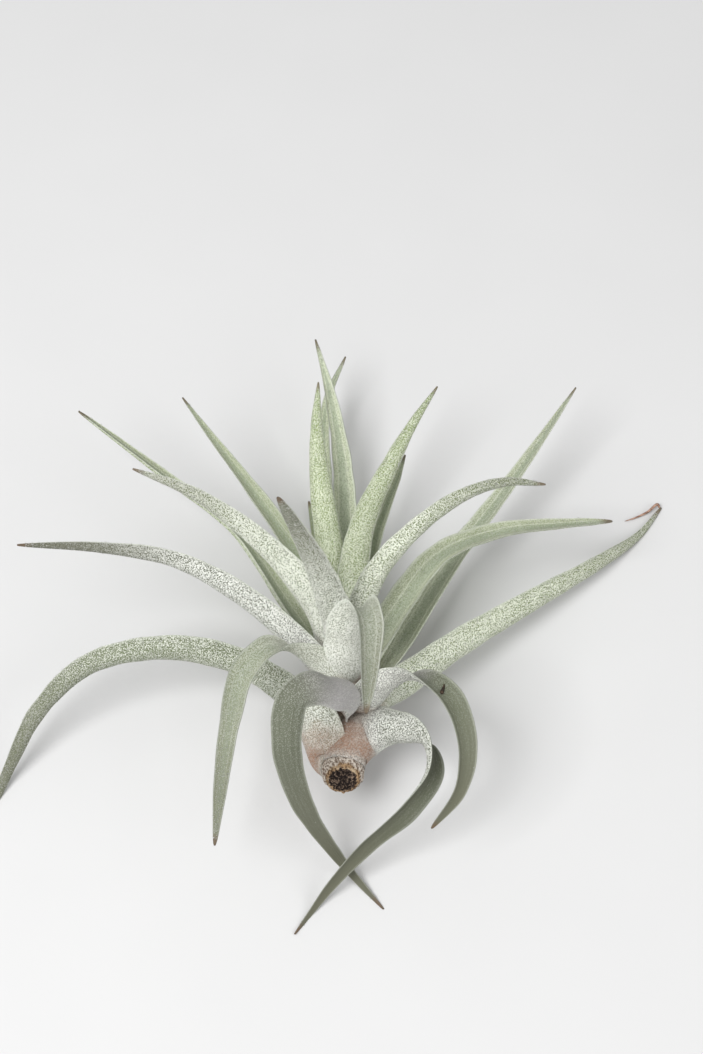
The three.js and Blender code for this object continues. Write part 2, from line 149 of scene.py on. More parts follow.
# Each leaf: the height of its seat on the stem, the side of the stem it grows from (degrees
# round the stem, 0 right, 90 front), the degrees its blade then turns about its own line, its
# unrolled width, the half angle of its channel near the base and at the tip, the two powers of
# its taper, and the points that its middle passes, chosen one by one. A channel below zero bows
# the blade the other way. Some also say how far their wide bases clasp, by how much these flare
# above the stem, and between which distances they turn.
LEAVES = {
    "leaf_01_front_right": dict(
        seat=2.5, side=72, turn=115, turn_span=(10, 60), clasp=2.1, flare=4, width=12.5,
        channel=(1.35, 0.7), taper=(1, 0.8),
        route=[(6, 13, -6), (15.5, 14, 1), (22.5, 11.5, 9), (24, 4, 12), (18, -6.5, 9),
               (6, -18, 3), (-3.5, -29, -1), (-9, -36.5, -2), (-13, -41.5, 0.8)]),
    "leaf_02_far_left_low": dict(
        seat=5, side=178, turn=40, clasp=1.6, flare=8, width=12, channel=(1, 1), taper=(1, 0.62),
        route=[(-8.5, 16.5, -6.5), (-16, 23.5, -8), (-29.5, 31.5, -7), (-48.5, 35, -6),
               (-69.5, 30.5, -8), (-84, 17.5, -13), (-92, 3, -17.5), (-96.5, -7, -19),
               (-99.5, -14.5, -14.5)]),
    "leaf_03_far_right_low": dict(
        seat=16, side=15, turn=-27, width=12.5, channel=(1, 1), taper=(1, 0.68),
        route=[(5.5, 18, -12), (16, 24.5, -17), (33, 35.5, -26), (55, 47.5, -38), (75, 58, -50),
               (88, 66, -60.5), (95, 74, -66)]),
    "leaf_04_front_left": dict(
        seat=20, side=120, turn=-40, turn_span=(0, 20), width=12.5, channel=(-1.7, 0.9),
        taper=(1, 0.7),
        route=[(2.2, 22, 3), (1.8, 24, 12), (-2, 25.2, 21.5), (-7.5, 27, 28), (-12.5, 24.5, 30),
               (-14.5, 13, 27), (-11, -4, 14), (-1.5, -21, -3), (4.5, -28.5, -5.6),
               (11, -35.5, -3.2)]),
    "leaf_05_right_hook": dict(
        seat=19, side=80, turn=80, turn_span=(16, 44), width=12, channel=(1.2, 0.8),
        taper=(1, 0.62),
        route=[(5, 20, -4), (10.5, 26, 1), (19, 29, 7), (28, 24, 13), (32.5, 12, 17),
               (31, -0.5, 16), (23.5, -11.5, 12)]),
    "leaf_06_left_hook": dict(
        seat=21, side=100, turn=-80, turn_span=(18, 48), width=12, channel=(1.2, 0.8),
        taper=(1, 0.65),
        route=[(-3, 27.5, -4), (-9, 34, 2), (-18, 37, 9), (-26, 30.5, 15), (-29.5, 17, 19),
               (-31.8, 1, 20), (-33.5, -15, 19)]),
    "leaf_07_far_left": dict(
        seat=24, side=165, turn=37, width=11.5, channel=(1, 1), taper=(1, 0.7),
        route=[(-7, 29.5, -13), (-16.5, 40, -13), (-29, 50, -12), (-46, 59, -9), (-66, 62.5, -5),
               (-88, 63.5, 0)]),
    "leaf_08_back_right": dict(
        seat=25, side=318, turn=28, width=11, channel=(0.9, 0.9), taper=(2, 0.9),
        route=[(9, 25, -20), (19, 40, -30), (32, 59.5, -40), (47.5, 79.5, -47), (59, 95.5, -52),
               (68.5, 109.5, -56)]),
    "leaf_09_front_folded": dict(
        seat=26, side=90, turn=20, width=18, channel=(1.5, 1.2), taper=(1, 0.6),
        route=[(0.5, 28, -6), (0.5, 38, 6), (2, 46, 17), (5, 48.5, 25), (7, 44, 31), (7, 35.5, 34),
               (6, 20.5, 32)]),
    "leaf_10_back_left": dict(
        seat=27, side=205, turn=-17, width=12.5, channel=(1, 1), taper=(1, 0.6),
        route=[(-8, 34, -24), (-17, 48, -31), (-31, 67.5, -37), (-51.5, 83, -42),
               (-77, 102, -46)]),
    "leaf_11_right_wide": dict(
        seat=28, side=340, turn=40, width=14.5, channel=(0.9, 0.9), taper=(1, 0.55),
        route=[(8, 32.5, -18), (17, 48, -20), (27.5, 60.5, -23), (44, 67, -27), (61.5, 69, -30),
               (76.5, 70, -32)]),
    "leaf_12_left": dict(
        seat=29, side=142, turn=27, width=12, channel=(1, 1), taper=(1.5, 0.8),
        route=[(-5, 41, -16), (-12, 53, -11), (-23.5, 65, -5), (-40, 77, 0), (-56.5, 84, 3)]),
    "leaf_13_front_short": dict(
        seat=30, side=105, turn=5, width=14, channel=(1, 1), taper=(1, 0.58),
        route=[(-0.5, 37.5, -9), (-5, 53, 6), (-9.5, 63, 18), (-13.5, 70.5, 27), (-16.5, 76, 34)]),
    "leaf_14_right_arched": dict(
        seat=31, side=45, turn=-25, width=10.5, channel=(1, 1), taper=(1, 0.68),
        route=[(4, 41.5, -12), (8.5, 54.5, -8), (18.5, 66.5, -5), (32, 76.5, -5), (44, 80.5, -7),
               (55.5, 80, -10)]),
    "leaf_15_back_left_high": dict(
        seat=33, side=208, turn=-42, width=11, channel=(1.2, 1.1), taper=(1.5, 0.9),
        route=[(-4.5, 43.5, -30), (-13.5, 60.5, -40), (-28.5, 81.5, -48), (-39, 95, -52),
               (-47.5, 106.5, -55)]),
    "leaf_16_back_low": dict(
        seat=34, side=270, turn=0, width=6, channel=(1, 1), taper=(1, 0.6),
        route=[(-1, 33, -34), (-4.5, 50, -47), (-8, 63, -59.5), (-10.5, 76, -66.2)]),
    "leaf_17_top_right": dict(
        seat=35, side=50, turn=-25, width=12, channel=(1.1, 1.1), taper=(1.5, 0.9),
        route=[(2.5, 48, -24), (5.5, 69, -36), (13, 85.5, -43), (20.5, 99, -48),
               (27.5, 109.5, -53)]),
    "leaf_18_top_left": dict(
        seat=36, side=100, turn=5, width=12.5, channel=(1.2, 1.2), taper=(1.8, 0.85),
        route=[(-0.5, 46.5, -28), (-4, 63.5, -36), (-7, 83.5, -45), (-8, 98, -52),
               (-7.5, 111, -57)]),
    "leaf_19_top_right_inner": dict(
        seat=36.5, side=335, turn=35, width=10, channel=(1, 1), taper=(2, 0.8),
        route=[(4.5, 46, -33), (8, 62, -42), (12, 73.5, -47), (15.5, 82, -50), (18, 89.5, -52)]),
    "leaf_20_top_tall": dict(
        seat=38, side=265, turn=0, width=11.5, channel=(1.3, 1.2), taper=(1.8, 0.9),
        route=[(0.5, 47.5, -34.5), (0.5, 63, -45), (-0.5, 86.5, -56), (-4, 107.5, -62),
               (-8.5, 124.5, -66)]),
    "leaf_21_top_inner": dict(
        seat=38.5, side=270, turn=8, width=8.5, channel=(1, 1), taper=(1.5, 0.8),
        route=[(-1, 47.5, -39), (-3.5, 64.5, -50), (-6, 85, -62), (-5, 106.5, -70),
               (0.5, 120, -74)]),
}

# How each leaf is coated: silver on its outer and its inner face, how green it is below, and how
# far from the root, in millimetres, the thick silver of the base reaches. Some values also hold
# painted light: leaves 18 to 21 are made more silver to lighten them where they lie in shade, and
# leaf 04 has a low inner silver and reach to darken it where the key lamp lights it more.
COATS_AND_PAINTED_LIGHT = {
    "leaf_01_front_right": (0.74, 0.06, 0.00, 28),
    "leaf_02_far_left_low": (0.60, 0.32, 0.25, 36),
    "leaf_03_far_right_low": (0.84, 0.34, 0.62, 30),
    # painted shade: a low inner silver and reach darken this leaf where the key lamp lights it more
    "leaf_04_front_left": (0.80, 0.16, 0.00, 76),
    "leaf_05_right_hook": (0.68, 0.18, 0.05, 52),
    "leaf_06_left_hook": (0.48, 0.58, 0.30, 58),
    "leaf_07_far_left": (0.88, 0.40, 0.00, 40),
    "leaf_08_back_right": (0.78, 0.78, 0.75, 34),
    "leaf_09_front_folded": (1.00, 0.84, 0.30, 56),
    "leaf_10_back_left": (0.80, 0.70, 0.85, 34),
    "leaf_11_right_wide": (0.80, 0.72, 0.80, 34),
    "leaf_12_left": (1.00, 0.42, 0.45, 40),
    "leaf_13_front_short": (0.90, 0.45, 0.20, 40),
    "leaf_14_right_arched": (0.82, 0.40, 0.50, 40),
    "leaf_15_back_left_high": (0.75, 0.68, 0.80, 34),
    "leaf_16_back_low": (0.86, 0.56, 0.85, 34),
    "leaf_17_top_right": (0.76, 0.74, 0.90, 34),
    # painted light: leaves 18 to 21 are made more silver to lighten them where they lie in shade
    "leaf_18_top_left": (0.78, 0.78, 1.00, 36),
    "leaf_19_top_right_inner": (0.90, 0.80, 1.00, 30),
    "leaf_20_top_tall": (0.90, 0.94, 1.00, 30),
    "leaf_21_top_inner": (0.84, 0.88, 1.00, 30),
}


# ---------------------------------------------------------------- arithmetic on arrays

def rise(x, start, end):
    """0 up to start, 1 from end on, and 3t² - 2t³ of the share t of the way between them. It
    falls from 1 to 0 where start is above end."""
    t = np.clip((x - start) / (end - start), 0, 1)
    return t * t * (3 - 2 * t)


def blend(start, end, share):
    """The value a share of the way from start to end: start + (end - start) × share."""
    return start + (end - start) * share


def unit(v):
    """Vectors divided by their lengths."""
    return v / np.linalg.norm(v, axis=-1, keepdims=True)


def turned(v, axis, angle):
    """v turned about the unit vector axis: v cos a + (axis × v) sin a + axis (axis · v)(1 - cos a)."""
    cos, sin = np.cos(angle)[..., None], np.sin(angle)[..., None]
    along = (axis * v).sum(-1, keepdims=True)
    return v * cos + np.cross(axis, v) * sin + axis * along * (1 - cos)


def curve_through(points, count):
    """A centripetal Catmull-Rom curve through the points, at count places in even steps.

    Between two points it blends the straight lines through neighbouring points twice over, with
    knots spaced by the square root of the distances. Returns its points and its length."""
    points = np.asarray(points, float)
    before, beyond = 2 * points[0] - points[1], 2 * points[-1] - points[-2]
    p = np.concatenate([[before], points, [beyond]])
    p0, p1, p2, p3 = (p[i:len(p) - 3 + i, None] for i in range(4))
    knots = [np.zeros_like(p0[..., :1])]
    for a, b in ((p0, p1), (p1, p2), (p2, p3)):
        knots.append(knots[-1] + np.sqrt(np.linalg.norm(b - a, axis=-1, keepdims=True)))
    t0, t1, t2, t3 = knots
    t = t1 + (t2 - t1) * np.linspace(0, 1, CURVE_STEPS)[None, :, None]
    a1 = ((t1 - t) * p0 + (t - t0) * p1) / (t1 - t0)
    a2 = ((t2 - t) * p1 + (t - t1) * p2) / (t2 - t1)
    a3 = ((t3 - t) * p2 + (t - t2) * p3) / (t3 - t2)
    b1 = ((t2 - t) * a1 + (t - t0) * a2) / (t2 - t0)
    b2 = ((t3 - t) * a2 + (t - t1) * a3) / (t3 - t1)
    dense = (((t2 - t) * b1 + (t - t1) * b2) / (t2 - t1)).reshape(-1, 3)
    gone = np.r_[0, np.cumsum(np.linalg.norm(np.diff(dense, axis=0), axis=1))]
    return sample(dense, gone, np.linspace(0, gone[-1], count)), gone[-1]


def sample(values, places, at):
    """Rows of values, which belong to places, read at other places by straight lines."""
    return np.stack([np.interp(at, places, column) for column in values.T], -1)


def ripple(x, seed, low, high, y=0.0):
    """A smooth random wave between about -1 and 1: the mean of a few sines, whose frequencies
    per millimetre lie between low and high, in the direction of x and, where given, of y."""
    rng = np.random.default_rng(seed)
    frequency = rng.uniform(low, high, SINES)
    heading = rng.uniform(0, np.pi if np.ndim(y) else 0, SINES)
    phase = rng.uniform(0, 2 * np.pi, SINES)
    waves = [np.sin(2 * np.pi * (f * (x * np.cos(a) + y * np.sin(a))) + p)
             for f, a, p in zip(frequency, heading, phase)]
    return np.mean(waves, axis=0) * RIPPLE_GAIN


# ---------------------------------------------------------------- the plant's form

STEM_LINE, STEM_LENGTH = curve_through(STEM_ROUTE, STEM_STATIONS)
STEM_PLACES = np.linspace(0, STEM_LENGTH, STEM_STATIONS)


def stem_radius(height):
    """The stem's radius at heights along it, read from the table by straight lines."""
    return np.interp(height, *np.transpose(STEM_RADII))


def stem_frame(height, side):
    """Centre, direction and outward unit vector at heights on the stem: outward is cos(side) of
    the direction to the right, squared up to the stem, plus sin(side) of the one to the front."""
    height, side = np.broadcast_arrays(np.asarray(height, float), np.radians(side))
    along = unit(sample(np.gradient(STEM_LINE, axis=0), STEM_PLACES, height))
    beyond = height - np.clip(height, 0, STEM_LENGTH)
    centre = sample(STEM_LINE, STEM_PLACES, height) + along * beyond[..., None]
    right = unit(np.array([1.0, 0, 0]) - along * along[..., :1])
    front = np.cross(right, along)
    out = right * np.cos(side)[..., None] + front * np.sin(side)[..., None]
    return centre, along, out


def leaf_line(leaf):
    """The line a leaf follows, with the direction its inner face looks at each step.

    The line runs from the stem through a short first step to the route's points. The inner
    direction starts facing the stem, and is carried along with the least turning: at each step
    it loses what it has along the new tangent. The leaf's own turn is added over its span."""
    centre, along, out = stem_frame(leaf["seat"], leaf["side"])
    root_radius = stem_radius(leaf["seat"]) + GAP + ROOT_THICKNESS / 2
    root = centre + out * root_radius
    route = np.array(leaf["route"], float)
    step = min(FIRST_STEP, FIRST_STEP_SHARE * np.linalg.norm(route[0] - root))
    second = root + along * FIRST_SLOPE[0] * step + out * FIRST_SLOPE[1] * step
    line, length = curve_through([root, second, *route], ROWS + 1)
    tangents = unit(np.gradient(line, axis=0, edge_order=2))
    inner = [unit(-out + tangents[0] * (out @ tangents[0]))]
    for tangent in tangents[1:]:
        inner.append(unit(inner[-1] - tangent * (inner[-1] @ tangent)))
    places = np.linspace(0, length, ROWS + 1)
    angle = np.radians(leaf["turn"]) * rise(places, *leaf.get("turn_span", TURN_SPAN))
    inner = turned(np.array(inner), tangents, angle)
    return {"leaf": leaf, "line": line, "tangents": tangents, "inner": inner, "places": places,
            "length": length, "root_radius": root_radius, "seed": int(leaf["seat"] * 10)}


def blade_arc(form, distance):
    """Radius and half angle of a blade's section at distances along it, and how far it is open.

    The unrolled width is the leaf's width × (1 - share^power)^root, and wavers. The arc starts
    round the stem and opens smoothly to the blade's own width and channel, with a flare half
    way. Its radius is its width over twice its half angle, which itself then wavers a little."""
    leaf, seed = form["leaf"], form["seed"]
    share = distance / form["length"]
    power, root = leaf["taper"]
    width = leaf["width"] * (1 - np.clip(share, 0, 1) ** power) ** root + TIP_WIDTH
    waver = WIDTH_WAVER * ripple(distance, seed, *WIDTH_WAVES)
    width = width * (1 + waver * rise(distance, 0, WAVER_START))
    opened = rise(distance, 0, CLASP_LENGTH)
    clasp = leaf.get("clasp", CLASP)
    half_angle = blend(clasp, blend(*leaf["channel"], share), opened)
    flared = leaf.get("flare", 0) * np.sin(np.pi * opened)
    radius = (blend(2 * clasp * form["root_radius"], width, opened) + flared) / (2 * half_angle)
    waver = CHANNEL_WAVER * ripple(distance, seed + 1, *CHANNEL_WAVES)
    return radius, half_angle * (1 + waver * opened), opened


def blade_point(form, distance, across, face, lift=0.0):
    """Points on a blade and their outward normals.

    distance runs along the leaf in millimetres, across from -1 to 1 between its margins, and
    face is 1 on the outer face and -1 on the inner one. The section is an arc: its centre is
    set off from the line towards the inner side by its radius less half its depth, and a point
    lies at the angle across × half angle from the arc's lowest point. Creases, half the
    thickness and the lift are added to the radius, the last two inwards on the inner face. The
    thickness falls with across² to the margins, and towards the tip."""
    radius, half_angle, opened = blade_arc(form, distance)
    share = distance / form["length"]
    depth = radius * (1 - np.cos(half_angle))
    inward = unit(sample(form["inner"], form["places"], distance))
    tangent = unit(sample(form["tangents"], form["places"], distance))
    sideways = np.cross(tangent, inward)
    inset = radius - depth / 2 * rise(distance, 0, CENTRING_LENGTH)
    centre = sample(form["line"], form["places"], distance) + inward * inset[..., None]
    angle = across * half_angle
    facing = sideways * np.sin(angle)[..., None] - inward * np.cos(angle)[..., None]
    full = blend(ROOT_THICKNESS, MIDDLE_THICKNESS, rise(distance, 0, ROOT_LENGTH))
    full = EDGE_THICKNESS + (full - EDGE_THICKNESS) * (1 - across ** 2)
    half = np.maximum(full * blend(1, TIP_THICKNESS_SHARE, share), THINNEST) / 2
    crease = CREASE_HEIGHT * ripple(across * CREASE_SPAN, form["seed"] + 2, *CREASE_WAVES)
    reach = radius + crease * opened * (1 - share) ** 0.5 + face * (half + lift)
    return centre + facing * reach[..., None], facing * np.sign(face)[..., None]


# ---------------------------------------------------------------- meshes

def placed(points):
    """Plant points to the shared frame in metres: laid back about X by LEAN, lifted and moved."""
    x, y, z = np.moveaxis(points, -1, 0)
    cos, sin = np.cos(LEAN), np.sin(LEAN)
    across, back, up = x - MIDDLE[0], y * cos - z * sin - MIDDLE[1], y * sin + z * cos + LIFT
    return np.stack([across, back, up], -1) * MM


def make_piece(name, points, faces, material, attributes=None):
    """A mesh object from points in the plant's frame and lists of corners, smooth shaded.

    A point under the floor is raised to it, because a leaf flattens where it rests."""
    place = placed(points).reshape(-1, 3)
    place[:, 2] = np.maximum(place[:, 2], CLEARANCE * MM)
    mesh = bpy.data.meshes.new(name)
    mesh.from_pydata(place, [], faces)
    for key, values in (attributes or {}).items():
        layer = mesh.attributes.new(key, "FLOAT", "POINT")
        layer.data.foreach_set("value", np.ascontiguousarray(values, np.float32).ravel())
    mesh.polygons.foreach_set("use_smooth", np.ones(len(faces), bool))
    mesh.materials.append(material)
    mesh.update()
    piece = bpy.data.objects.new(name, mesh)
    bpy.context.scene.collection.objects.link(piece)
    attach(piece, "root")
    return piece


def ring_faces(rows, columns):
    """Quads between neighbouring rings of a tube whose rings have columns points each."""
    first = np.arange(rows - 1)[:, None] * columns
    column = np.arange(columns)[None]
    a, b = (first + column).ravel(), (first + (column + 1) % columns).ravel()
    return np.stack([a, b, b + columns, a + columns], -1)


def leaf_piece(name, leaf, material):
    """One blade as a closed tube: each ring goes across the outer face and back across the
    inner one, and the root and the tip are closed by strips between the two faces."""
    form = leaf_line(leaf)
    distance = form["length"] * np.linspace(0, 1, ROWS + 1)[:, None]
    across = np.sin(np.linspace(-1, 1, COLUMNS + 1) * np.pi / 2)
    across = np.r_[across, across[::-1]][None]
    face = np.r_[np.ones(COLUMNS + 1), -np.ones(COLUMNS + 1)][None]
    distance, across, face = np.broadcast_arrays(distance, across, face)
    points, _ = blade_point(form, distance, across, face)

    size = 2 * (COLUMNS + 1)
    left = np.arange(COLUMNS)
    cap = np.stack([left, size - 1 - left, size - 2 - left, left + 1], -1)
    faces = np.concatenate([ring_faces(ROWS + 1, size), cap, cap[:, ::-1] + ROWS * size])

    silver_outer, silver_inner, green, reach = COATS_AND_PAINTED_LIGHT[name]
    steps = np.linalg.norm(np.diff(points, axis=1, prepend=points[:, :1]), axis=-1)
    piece = make_piece(name + "_blade", points, faces[:, ::-1].tolist(), material, {
        "distance": distance, "share": distance / form["length"],
        "across": across, "side_mm": steps.cumsum(1), "outer": (face > 0).astype(float),
        "silver": np.where(face > 0, silver_outer, silver_inner),
        "green": np.full(face.shape, green), "near": rise(distance, reach, 0)})
    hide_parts(name)
    return form


def shield_coat(name, form, material):
    """Loose silver shields over a blade, thickest where its coat is: each is a thin roof of four
    triangles, closed below, whose root lies a little under the skin and whose tip stands off it.

    They are drawn at random: distance from the length × u^power, the side from -1 to 1, and the
    face by each face's silver^power. A shield heads along the blade, turned about the normal."""
    count = int(form["length"] * form["leaf"]["width"] * SHIELDS_PER_SQUARE_MM)
    rng = np.random.default_rng(form["seed"])
    distance = rng.uniform(0, SHIELD_REACH, count) ** SHIELD_CROWDING * form["length"]
    across = rng.uniform(-1, 1, count)
    outer, inner = np.power(COATS_AND_PAINTED_LIGHT[name][:2], SHIELD_LEANING)
    face = np.where(rng.uniform(0, 1, count) < outer / (outer + inner), 1.0, -1.0)
    root, normal = blade_point(form, distance, across, face, SHIELD_ROOT)
    tangent = unit(sample(form["tangents"], form["places"], distance))
    level = unit(tangent - normal * (tangent * normal).sum(-1, keepdims=True))
    ahead = turned(level, normal, rng.normal(0, SHIELD_SPREAD, count))
    size = rng.uniform(*SHIELD_LENGTHS, count)[:, None]
    height = SHIELD_RISE + size * rng.uniform(*SHIELD_SLOPES, count)[:, None]
    middle = root + ahead * size * SHIELD_MIDDLE[0] + normal * height * SHIELD_MIDDLE[1]
    side = np.cross(normal, ahead) * size * SHIELD_HALF_WIDTH
    tip = root + ahead * size + normal * height
    points = np.stack([root, middle - side, tip, middle + side], 1)
    roof = np.array([[0, 1, 2], [0, 2, 3], [0, 3, 1], [1, 3, 2]])
    faces = (np.arange(count)[None, :, None] * 4 + roof[:, None]).reshape(-1, 3)
    make_piece(name + "_scales", points, faces.tolist(), material)


def thread_piece(name, route, radius, material):
    """A dry thread: a tube along a route, closed at its ends, whose radius at a share of its
    length is blended from THREAD_END to 1 by sin(π share^first power)^second power."""
    line, _ = curve_through(route, THREAD_ROWS)
    tangents = unit(np.gradient(line, axis=0))
    first = unit(np.cross(tangents, (0, 0, 1)))
    second = np.cross(tangents, first)
    share = np.linspace(0, 1, THREAD_ROWS)[:, None, None]
    angle = np.linspace(0, 2 * np.pi, THREAD_SIDES, endpoint=False)[None, :, None]
    skew, fullness = THREAD_POWERS
    size = radius * blend(THREAD_END, 1, np.sin(np.pi * share ** skew) ** fullness)
    points = line[:, None] + (np.cos(angle) * first[:, None] + np.sin(angle) * second[:, None]) * size
    start, last = list(range(THREAD_SIDES)), (THREAD_ROWS - 1) * THREAD_SIDES
    caps = [start[::-1], [last + corner for corner in start]]
    make_piece(name, points, ring_faces(THREAD_ROWS, THREAD_SIDES).tolist() + caps, material)


def stem_wall(side):
    """The stem's wall, ring by ring from its cut end, with its radii and heights.

    The radius is the table's, less the wear of the rim, which dies away as exp(-height / reach),
    plus ridges that die away in the same way, the swelling behind the rim and fine bark."""
    height = np.linspace(0, STEM_LENGTH, STEM_ROWS)[:, None]
    girth = np.radians(side) * STEM_RADII[0][1]
    ridges = RIDGE_HEIGHT * ripple(girth, *RIDGE_RIPPLE) * np.exp(-height / RIDGE_REACH)
    wear = RIM_WEAR * np.exp(-height / RIM_REACH)
    swelling = SWELLING * rise(height, *SWELLING_RISES) * rise(height, *SWELLING_FALLS)
    bark = BARK_HEIGHT * ripple(girth, *BARK_RIPPLE, height)
    radius = stem_radius(height) + ridges - wear + swelling + bark
    centre, _, out = stem_frame(*np.broadcast_arrays(height, side))
    return centre + out * radius[..., None], radius, height


def stem_end(side, rim):
    """Rings of the stem's cut end from its middle outwards, and their shares of the rim's radius.

    Each point is sunk along the stem by the depth of the pith and by pits, which set in smoothly
    inside the bark and are less deep at the very middle."""
    share = np.linspace(0, 1, END_RINGS + 1)[1:-1, None]
    reach = rim * share
    right, front = reach * np.cos(np.radians(side)), reach * np.sin(np.radians(side))
    pits = PIT_DEPTH * ripple(right, *PIT_RIPPLE, front) * rise(share, *PIT_EDGE)
    depth = (PITH_DEPTH * rise(share, *PITH_EDGE) + pits) * rise(share, *PITH_MIDDLE)
    centre, along, out = stem_frame(np.zeros((1, 1)), side)
    return centre + out * reach[..., None] + along * depth[..., None], share


def fan(first, sides, step):
    """Triangles that close a ring of sides points, numbered from first, in the order of step."""
    turn = np.arange(1, sides - 1)[:, None] + [0, 1]
    return np.c_[np.full(sides - 2, first), first + turn[:, ::step]]


def stem_piece(material):
    """The stem as one closed surface: the rings of its cut end, then those of its wall, with a
    fan of triangles at each end. outward is a ring's share of the radius on the cut end, and 1
    plus the height on the wall."""
    side = np.linspace(0, 360, STEM_SIDES, endpoint=False)[None]
    wall, radius, height = stem_wall(side)
    end, share = stem_end(side, radius[:1])
    points = np.concatenate([end.reshape(-1, 3), wall.reshape(-1, 3)])
    last = len(points) - STEM_SIDES
    rings = ring_faces(END_RINGS - 1 + STEM_ROWS, STEM_SIDES)[:, ::-1]
    faces = [*rings.tolist(), *fan(0, STEM_SIDES, 1).tolist(), *fan(last, STEM_SIDES, -1).tolist()]
    outward = np.r_[np.repeat(share, STEM_SIDES), 1 + np.repeat(height, STEM_SIDES)]
    piece = make_piece("stem_wood", points, faces, material, {"outward": outward})
    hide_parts("stem")


# ---------------------------------------------------------------- materials

class Signal:
    """An output of a shader node. Arithmetic on it adds Math nodes."""

    def __init__(self, paint, socket):
        self.paint, self.socket = paint, socket

    def math(self, operation, *terms):
        """A Math node of the operation on the terms."""
        return self.paint.node("Math", {"operation": operation}, dict(enumerate(terms)))

    def __add__(self, other):
        return self.math("ADD", self, other)

    def __sub__(self, other):
        return self.math("SUBTRACT", self, other)

    def __rsub__(self, other):
        return self.math("SUBTRACT", other, self)

    def __mul__(self, other):
        return self.math("MULTIPLY", self, other)

    __radd__ = __add__

    def size(self):
        """Its value without the sign."""
        return self.math("ABSOLUTE", self)

    def step(self, low, high):
        """0 below low, 1 above high and a smooth rise between; falls where low is above high."""
        return self.paint.node("MapRange", {"interpolation_type": "SMOOTHSTEP", "clamp": True},
                               {"Value": self, "From Min": low, "From Max": high})


class Paint:
    """A material being made: adds nodes and feeds its Principled shader."""

    def __init__(self, name):
        self.material = bpy.data.materials.new(name)
        self.material.use_nodes = True
        self.tree = self.material.node_tree
        self.shader = self.tree.nodes["Principled BSDF"]
        self.place = self.node("TexCoord", output="Object")

    def node(self, kind, settings=None, inputs=None, output=0):
        """A node of a kind, with its settings, then the values or links of its sockets."""
        node = self.tree.nodes.new("ShaderNode" + kind)
        for key, value in (settings or {}).items():
            setattr(node, key, value)
        for key, value in (inputs or {}).items():
            self.feed(node.inputs[key], value)
        return Signal(self, node.outputs[output])

    def feed(self, socket, value):
        """Links a signal to a socket, or sets the socket's own value."""
        if isinstance(value, Signal):
            self.tree.links.new(value.socket, socket)
        else:
            socket.default_value = value

    def attribute(self, name):
        """A number stored on the mesh's points."""
        return self.node("Attribute", {"attribute_name": name}, output="Fac")

    def noise(self, per_mm, detail=2.0, roughness=0.5, place=None):
        """Noise of a number of lumps to the millimetre, with detail in finer and finer ones."""
        return self.node("TexNoise", None, {"Vector": place or self.place, "Scale": per_mm / MM,
                                            "Detail": detail, "Roughness": roughness})

    def cells(self, per_mm, output, place=None):
        """Voronoi cells, flat where place is given and solid elsewhere: the Distance from their
        points, or a Color, random for each."""
        return self.node("TexVoronoi", {"voronoi_dimensions": "2D" if place else "3D"},
                         {"Vector": place or self.place, "Scale": per_mm / MM,
                          "Randomness": CELL_RANDOMNESS}, output)

    def point(self, x, y):
        """A flat place for a pattern, from two signals in millimetres."""
        return self.node("CombineXYZ", None, {0: x * MM, 1: y * MM})

    def mix(self, share, start, end):
        """The colour a share of the way from start to end."""
        return self.node("Mix", {"data_type": "RGBA"}, {0: share, 6: start, 7: end}, 2)

    def grey(self, colour):
        """The first channel of a colour, as a number."""
        return self.node("SeparateColor", None, {"Color": colour})

    def finish(self, colour, roughness, height=None, depth=0.0, **constants):
        """Feeds colour, roughness and a bump of depth millimetres, and sets the constants."""
        self.feed(self.shader.inputs["Base Color"], colour)
        self.feed(self.shader.inputs["Roughness"], roughness)
        for key, value in constants.items():
            self.shader.inputs[key.replace("_", " ")].default_value = value
        if height is not None:
            bump = self.node("Bump", None, {"Height": height, "Distance": depth * MM,
                                            "Strength": 1.0})
            self.feed(self.shader.inputs["Normal"], bump)
        return self.material


def colour(red, green, blue):
    """An sRGB colour of 0 to 255, made linear: c / 12.92 when dark, else ((c + 0.055) / 1.055)^2.4."""
    c = np.array([red, green, blue]) / 255
    return (*np.where(c <= 0.04045, c / 12.92, ((c + 0.055) / 1.055) ** 2.4), 1.0)


# Colours of a blade's flesh, where it is grey and where it is green, and of what lies over it.
GREY_FLESH, GREEN_FLESH, DULL_FLESH = colour(70, 72, 56), colour(154, 170, 98), colour(66, 72, 52)
PALE_VEIN = colour(170, 176, 158)
SILVER_FILM = colour(184, 190, 170)
GREY_GAP, GREEN_GAP = colour(84, 90, 72), colour(114, 140, 80)
MAUVE_BASE, GREEN_BASE = colour(178, 174, 175), colour(188, 198, 148)
# The blue-green of the painted shade in a leaf's channel.
CHANNEL_SHADE = colour(122, 142, 122)
PALE_FOLD, PALE_MARGIN = colour(228, 232, 218), colour(222, 226, 214)
AGED_GREY, TAN_BASE, BROWN_TIP = colour(98, 98, 82), colour(162, 128, 108), colour(104, 82, 64)

# Colours of the shields, flat on the blade and loose.
SHIELD_GREY, SHIELD_WHITE = colour(228, 231, 221), colour(255, 255, 251)
SHIELD_GREEN = colour(230, 239, 202)
LOOSE_GREY, LOOSE_WHITE = colour(188, 190, 182), colour(232, 233, 228)

# Colours of the stem, the dry threads and the floor. Each pair is dark, then light.
PITH, PIT = (colour(36, 28, 26), colour(158, 136, 118)), colour(24, 19, 19)
BARK, FLAKE = (colour(72, 50, 36), colour(176, 146, 112)), colour(206, 186, 158)
FUZZ = colour(112, 94, 80), colour(214, 204, 192)
DARK_TISSUE = colour(38, 32, 28), colour(82, 66, 52)
DRY_TISSUE = colour(112, 82, 68), colour(186, 152, 132)
FLOOR_GREYS = colour(210, 210, 210), colour(214, 214, 214)

